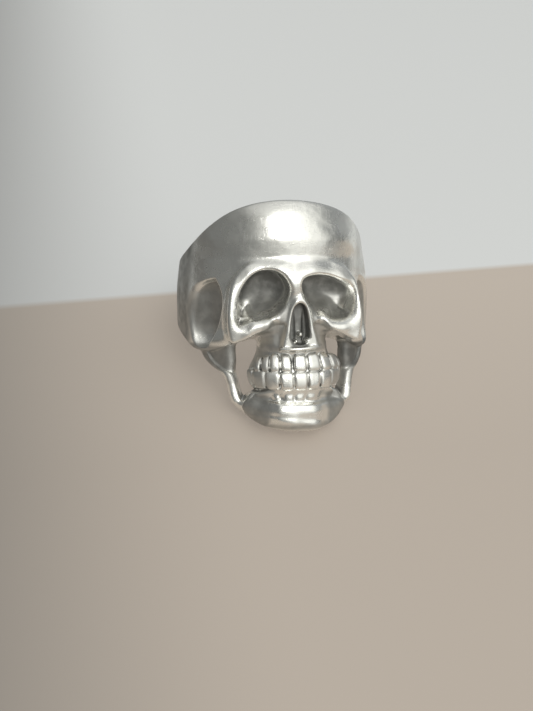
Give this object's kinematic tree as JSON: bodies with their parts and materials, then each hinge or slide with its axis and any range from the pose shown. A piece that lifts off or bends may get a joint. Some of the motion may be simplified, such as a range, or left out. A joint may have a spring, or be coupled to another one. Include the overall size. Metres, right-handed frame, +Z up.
{
  "type": "skull ring",
  "caption": "Cast silver finger ring whose front is a human skull with bared teeth and an open crown, lying tipped back on its chin and band.",
  "frame": {"origin": "centre of the ring's bounding box, on the surface that it lies on", "axes": "+Z up; the skull looks along -Y and upwards; +X towards the skull's left; the finger bore leans 30.9 degrees back from +Z towards +Y"},
  "size_m": [0.0244, 0.031, 0.0241],
  "materials": {
    "silver": "worn polished silver, dark in the recesses"
  },
  "bodies": {
    "root": {"skull_ring": "silver"}
  },
  "joints": []
}
